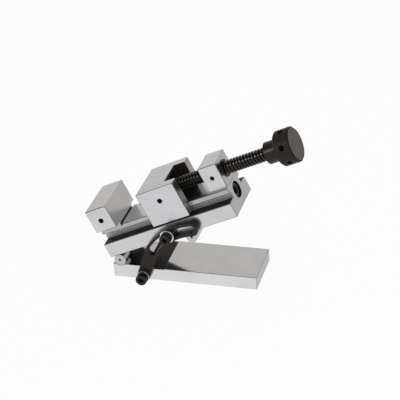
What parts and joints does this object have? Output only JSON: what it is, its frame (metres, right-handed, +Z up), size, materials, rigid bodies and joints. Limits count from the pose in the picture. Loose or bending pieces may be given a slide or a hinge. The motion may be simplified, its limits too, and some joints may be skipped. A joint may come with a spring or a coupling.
{
  "type": "sine vise",
  "caption": "Toolmaker's screw vise with a fixed and a moving jaw on a rail, tilting on a roller-hinged sine base and held by a slotted lock arm.",
  "frame": {"origin": "middle of the base plate's underside", "axes": "+X from the hinge end towards the knob, -Y towards the lock arm, +Z up"},
  "size_m": [0.256, 0.0808, 0.1959],
  "materials": {
    "ground_steel": "fine ground, bright",
    "black_steel": "black oxide, satin",
    "bronze": "turned bronze"
  },
  "bodies": {
    "base": {"base_plate": "ground_steel", "hinge_block": "black_steel", "hinge_block_screws": "black_steel"},
    "bed": {"vise_body": "ground_steel", "hinge_roller": "ground_steel", "sine_roller": "ground_steel", "roller_screws": "black_steel", "nut_block": "ground_steel", "nut_block_screws": "black_steel", "lead_nut": "black_steel", "end_plug": "black_steel"},
    "jaw": {"moving_jaw": "ground_steel", "screw_keeper": "black_steel", "keeper_screws": "black_steel", "thrust_washer": "bronze"},
    "screw": {"lead_screw": "black_steel", "knob": "black_steel", "knob_pin": "ground_steel"},
    "arm": {"lock_arm": "black_steel"},
    "pivot": {"pivot_bolt": "black_steel", "pivot_washer": "ground_steel"},
    "clamp": {"clamp_bolt": "black_steel", "clamp_washer": "ground_steel"}
  },
  "joints": [
    {"name": "tilt", "type": "hinge", "parent": "base", "child": "bed", "pos_m": [-0.0778, 0, 0.023], "axis": [0, -1, 0], "range_deg": [-24, 20.8]},
    {"name": "arm_swing", "type": "hinge", "parent": "base", "child": "arm", "pos_m": [-0.0477, -0.0315, 0.0085], "axis": [0, -1, 0], "range_deg": [-30.77, 26.68]},
    {"name": "screw_spin", "type": "hinge", "parent": "jaw", "child": "screw", "pos_m": [0.10059, 0, 0.16325], "axis": [0.9121, 0, 0.4099], "range_deg": [-3808, 3808]},
    {"name": "jaw_slide", "type": "slide", "parent": "bed", "child": "jaw", "axis": [0.9121, 0, 0.4099], "range_m": [-0.0423, 0.0423]},
    {"name": "pivot_turn", "type": "hinge", "parent": "base", "child": "pivot", "pos_m": [-0.0477, -0.0315, 0.0085], "axis": [0, -1, 0], "range_deg": [0, 180]},
    {"name": "clamp_turn", "type": "hinge", "parent": "bed", "child": "clamp", "pos_m": [-0.01341, -0.0315, 0.06707], "axis": [0, -1, 0], "range_deg": [0, 180]}
  ],
  "couplings": [
    {"joint": "arm_swing", "follows": "tilt", "ratio": 1.278},
    {"joint": "screw_spin", "follows": "jaw_slide", "rad_per_m": 1570.8}
  ]
}
